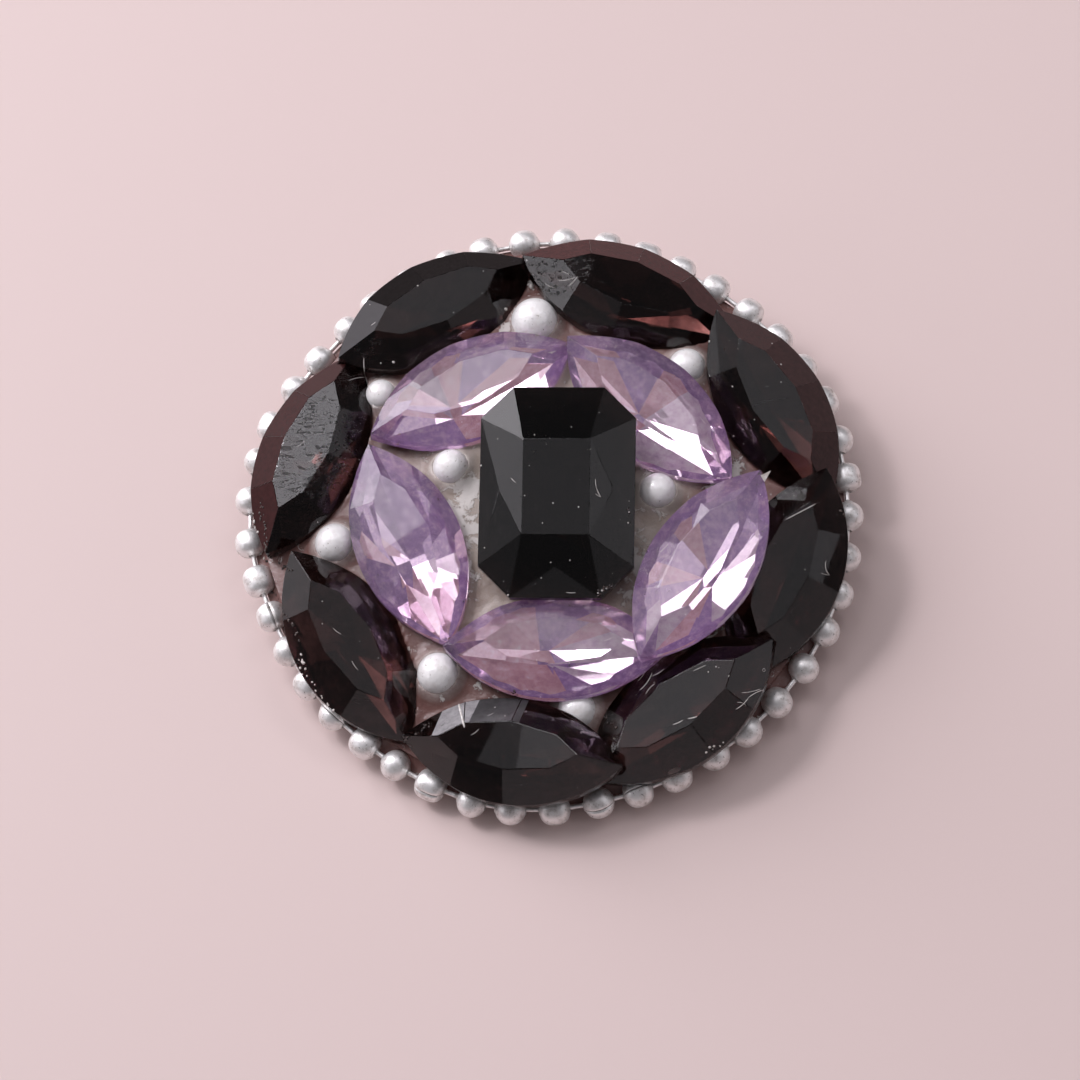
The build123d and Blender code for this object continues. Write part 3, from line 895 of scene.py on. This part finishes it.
# Dark residue along stone edges: two picture points, how many crumbs, radius in mm
RESIDUE_RUNS = [
    # u0, v0, u1, v1, count, radius
    (261.0, 500.0, 268.0, 560.0, 26, 0.13), (268.0, 560.0, 292.0, 572.0, 16, 0.12), (271.0, 590.0, 300.0, 640.0, 18, 0.12),
    (512.0, 692.0, 519.0, 698.0, 9, 0.09), (842.0, 512.0, 851.0, 520.0, 9, 0.12), (596.0, 595.0, 616.0, 584.0, 14, 0.09),
    (628.5, 505.0, 629.0, 530.0, 8, 0.07), (604.0, 716.0, 618.0, 728.0, 8, 0.10),
    (406.0, 741.0, 432.0, 723.0, 16, 0.12),
]
# Drops of clear glue: two picture points, how many, radius in mm
DROP_RUNS = [
    (527.5, 280.5, 534.0, 289.0, 6, 0.17), (248.0, 500.0, 262.0, 560.0, 16, 0.13), (300.0, 668.0, 345.0, 726.0, 14, 0.12),
    (756.0, 720.0, 790.0, 690.0, 12, 0.13), (826.0, 640.0, 846.0, 600.0, 12, 0.12),
    (300.0, 655.0, 306.0, 668.0, 6, 0.12), (700.0, 757.0, 724.0, 742.0, 7, 0.10),
]


def land(u, v):
    """Where the camera's ray through a picture point first meets the brooch."""
    best = None
    ray = sight(u, v)
    for tree, name in casters:
        hit = tree.ray_cast(eye, ray)
        if hit[0] is not None and (best is None or hit[3] < best[2]):
            n = hit[1] if hit[1].dot(ray) < 0 else -hit[1]
            best = (hit[0], n, hit[3], name)
    return best


def add_hair(bm, u0, v0, u1, v1, bow, radius, sides=5):
    span = math.hypot(u1 - u0, v1 - v0)
    steps = max(3, int(span / 2.2))
    line = []
    for k in range(steps + 1):
        t = k / steps
        b = bow * 4 * t * (1 - t)
        hit = land(u0 + (u1 - u0) * t - (v1 - v0) / span * b, v0 + (v1 - v0) * t + (u1 - u0) / span * b)
        if hit is None or (line and (hit[0] - line[-1][0]).length > 1.4 * MM):
            break
        line.append((hit[0] + hit[1] * radius * 0.35 * MM, hit[1]))
    if len(line) < 2:
        return 0
    rings = []
    for k, (p, n) in enumerate(line):
        a, b = line[max(k - 1, 0)][0], line[min(k + 1, len(line) - 1)][0]
        axis = (b - a).normalized()
        u = n.cross(axis).normalized()
        w = axis.cross(u)
        thin = 0.45 if k in (0, len(line) - 1) else 1.0
        rings.append([bm.verts.new(p + (u * math.cos(q) + w * math.sin(q)) * radius * thin * MM)
                      for q in (2 * math.pi * i / sides for i in range(sides))])
    for ring, nxt in zip(rings, rings[1:]):
        for i in range(sides):
            bm.faces.new((ring[i], ring[(i + 1) % sides], nxt[(i + 1) % sides], nxt[i]))
    bm.faces.new(list(reversed(rings[0])))
    bm.faces.new(rings[-1])
    return 1


def add_lump(bm, place, normal, size, rnd, flat=0.6, fine=1):
    made = bmesh.ops.create_icosphere(bm, subdivisions=fine, radius=1.0)["verts"]
    u = normal.orthogonal().normalized()
    w = normal.cross(u)
    turn = rnd.uniform(0, 6.3)
    u, w = u * math.cos(turn) + w * math.sin(turn), w * math.cos(turn) - u * math.sin(turn)
    shift = Vector((rnd.uniform(0, 60), rnd.uniform(0, 60), 0))
    long = rnd.uniform(0.8, 1.5)
    for v in made:
        c = v.co * (1.0 + 0.45 * noise.noise(v.co * 1.1 + shift))
        v.co = place + (u * c.x * long + w * c.y + normal * (c.z * flat + 0.15)) * size * MM
    for v in made:
        for f in v.link_faces:
            f.smooth = True


def marks():
    rnd = random.Random(5)
    bm = bmesh.new()
    count = sum(add_hair(bm, *row) for row in HAIRS_AND_EDGE_GLINT)
    for u, v, size in SPECKS:
        hit = land(u, v)
        if hit:
            add_lump(bm, hit[0], hit[1], size, rnd)
    for _ in range(170):
        u, v = rnd.uniform(225, 875), rnd.uniform(235, 835)
        hit = land(u, v)
        if hit and hit[3] != "glue_skin" and not hit[3].startswith("pearl"):
            add_lump(bm, hit[0], hit[1], rnd.choice((0.018, 0.022, 0.03, 0.045)), rnd, fine=1)
    bmesh.ops.recalc_face_normals(bm, faces=bm.faces)
    # the piece holds dust, hairs and one painted highlight line
    piece("dust_hairs_and_painted_glint", bm, [DUST_AND_GLINT])
    print("hairs", count, "of", len(HAIRS_AND_EDGE_GLINT))
    for name, runs, mat in (("dark_residue", RESIDUE_RUNS, RESIDUE), ("glue_drops", DROP_RUNS, DROP)):
        bm = bmesh.new()
        for u0, v0, u1, v1, many, size in runs:
            for k in range(many):
                t = (k + rnd.random()) / many
                hit = land(u0 + (u1 - u0) * t + rnd.gauss(0, 1.3), v0 + (v1 - v0) * t + rnd.gauss(0, 1.3))
                if hit:
                    add_lump(bm, hit[0], hit[1], size * rnd.uniform(0.5, 1.4), rnd)
        bmesh.ops.recalc_face_normals(bm, faces=bm.faces)
        piece(name, bm, [mat])
    # a bright sliver caught between three stones
    bm = bmesh.new()
    corners = [(771.0, 470.5), (760.5, 475.5), (764.5, 482.0)]
    hits = [h for h in (land(u, v) for u, v in corners) if h]
    if hits:
        near = min((h[0] - eye).dot(fwd) for h in hits)
        lid, base = ([bm.verts.new(eye + sight(u, v) * (near + d * MM) / sight(u, v).dot(fwd)) for u, v in corners] for d in (-0.10, 0.6))
        for k in range(3):
            bm.faces.new((base[k], base[(k + 1) % 3], lid[(k + 1) % 3], lid[k]))
        bm.faces.new(lid)
        bm.faces.new(list(reversed(base)))
        bmesh.ops.recalc_face_normals(bm, faces=bm.faces)
        piece("bright_sliver", bm, [DROP])


def films():
    rows = {row[0]: row for row in NAVETTES}
    for k, (name, low_x, high_x, way_y, low_az, high_az, color, rough, ior) in enumerate(PAINTED_REFLECTION_FILMS):
        own = (FLAT @ seat_of(rows[name])).inverted()
        turn = own.to_3x3()
        src = bmesh.new()
        src.from_mesh(bpy.data.objects[name + "_cut"].data)
        along = own.inverted()
        for x, way in ((low_x, -1), (high_x, 1)):
            bmesh.ops.bisect_plane(src, geom=src.verts[:] + src.edges[:] + src.faces[:], plane_co=along @ Vector((x, 0, 0)),
                                   plane_no=(along.to_3x3() @ Vector((way, 0, 0))).normalized(), clear_outer=True)
        bm = bmesh.new()
        for f in src.faces:
            n = (turn @ f.normal).normalized()
            mid = own @ f.calc_center_median()
            if n.z < 0.3 or n.z > 0.93 or n.y * way_y < 0.2 or f.calc_area() < 0.8 * MM * MM:
                continue
            if not low_az <= math.degrees(math.atan2(n.y * way_y, n.x)) <= high_az:
                continue
            top = [bm.verts.new(v.co + f.normal * 0.012 * MM) for v in f.verts]
            low = [bm.verts.new(v.co + f.normal * 0.003 * MM) for v in f.verts]
            bm.faces.new(top)
            bm.faces.new(list(reversed(low)))
            for i in range(len(top)):
                j = (i + 1) % len(top)
                bm.faces.new((top[j], top[i], low[i], low[j]))
        src.free()
        print("film", name, len(bm.faces))
        # the layer's colour is painted reflection, with dark specks of dirt
        m = Mat("painted_reflection_film_%d" % (k + 1))
        fine = m.noise(0.5, 5.0, 0.72)
        specks = m.steps(m.noise(0.28, 3.0, 0.6, shift=(0.2, 0.1, 0.0)), [(0.60, 0.0), (0.68, 1.0)])
        c = m.steps(fine, [(0.35, tuple(0.72 * t for t in color)), (0.65, tuple(1.15 * t for t in color))])
        c = m.mix(m.math("MULTIPLY", specks, 0.5), c, (0.014, 0.012, 0.012))
        m.surface(Roughness=rough, IOR=ior, Base_Color=c, Normal=m.bump(fine, 0.4, 0.01))
        piece("painted_reflection_film_%d" % (k + 1), bm, [m.m])


films()
marks()

# ---------------------------------------------------------------- floor, light
bpy.ops.mesh.primitive_plane_add(size=4.0, location=(0, 0, 0))
floor = bpy.context.object
floor.name = "floor"
fm = Mat("floor")
fm.surface(Roughness=0.6, Base_Color=(0.72, 0.585, 0.56))
floor.data.materials.append(fm.m)

world = bpy.data.worlds.new("world")
bpy.context.scene.world = world
world.use_nodes = True
world.node_tree.nodes["Background"].inputs["Color"].default_value = (0.985, 0.945, 1.0, 1.0)
world.node_tree.nodes["Background"].inputs["Strength"].default_value = 0.10

# name, bearing from +X, height, width across, height across (degrees), brightness
PANELS = [
    ("core", 148, 50, 11, 11, 20.0),
    ("window", 140, 30, 36, 56, 4.0),
    ("window_top", 122, 68, 16, 18, 3.4),
    ("left_high", 165.7, 39, 13.5, 30, 1.55),
    ("left_low", 168, 6.5, 20, 13, 0.85),
    ("left_mid", 168, 18.5, 20, 11, 0.42),
    ("left_back", 184, 32, 18, 30, 0.43),
    ("front_left", -159, 25, 14, 14, 2.2),
    ("right_low", 6, 25.5, 44, 27, 0.54),
    ("right_high", 6, 48, 44, 17, 0.68),
    ("right_top", 48, 57, 24, 13, 3.0),
    ("top", 150, 84, 30, 22, 0.40),
    ("top_back", 60, 77, 22, 18, 0.6),
    ("front", -90, 37, 84, 14, 0.16),
    ("corner_left", -144, 38, 14, 12, 0.13),
    ("corner_right", -44, 40, 14, 12, 0.18),
    ("right_back", 52, 37, 13, 14, 0.13),
    ("front_low", -84, 9, 76, 13, 0.38),
    ("front_right_low", -30, 12, 34, 14, 0.30),
    ("top_left", 169, 75.7, 6, 5, 0.50),
]
for k, (name, bearing, height, wide, high, bright) in enumerate(PANELS):
    reach = 0.78 + 0.01 * k
    b, h = math.radians(bearing), math.radians(height)
    place = Vector((math.cos(h) * math.cos(b), math.cos(h) * math.sin(b), math.sin(h))) * reach
    data = bpy.data.lights.new(name, "AREA")
    data.shape = "RECTANGLE"
    data.size = 2 * reach * math.tan(math.radians(wide / 2))
    data.size_y = 2 * reach * math.tan(math.radians(high / 2))
    data.energy = 1.02 * bright * math.pi * data.size * data.size_y
    data.color = (1.0, 0.86, 0.89) if name.startswith("front_") and height < 15 else (0.985, 0.945, 1.0)
    ob = bpy.data.objects.new(name, data)
    bpy.context.scene.collection.objects.link(ob)
    z = place.normalized()
    x = Vector((0, 0, 1)).cross(z).normalized()
    y = z.cross(x)
    ob.matrix_world = Matrix.Translation(place) @ Matrix((x, y, z)).transposed().to_4x4()
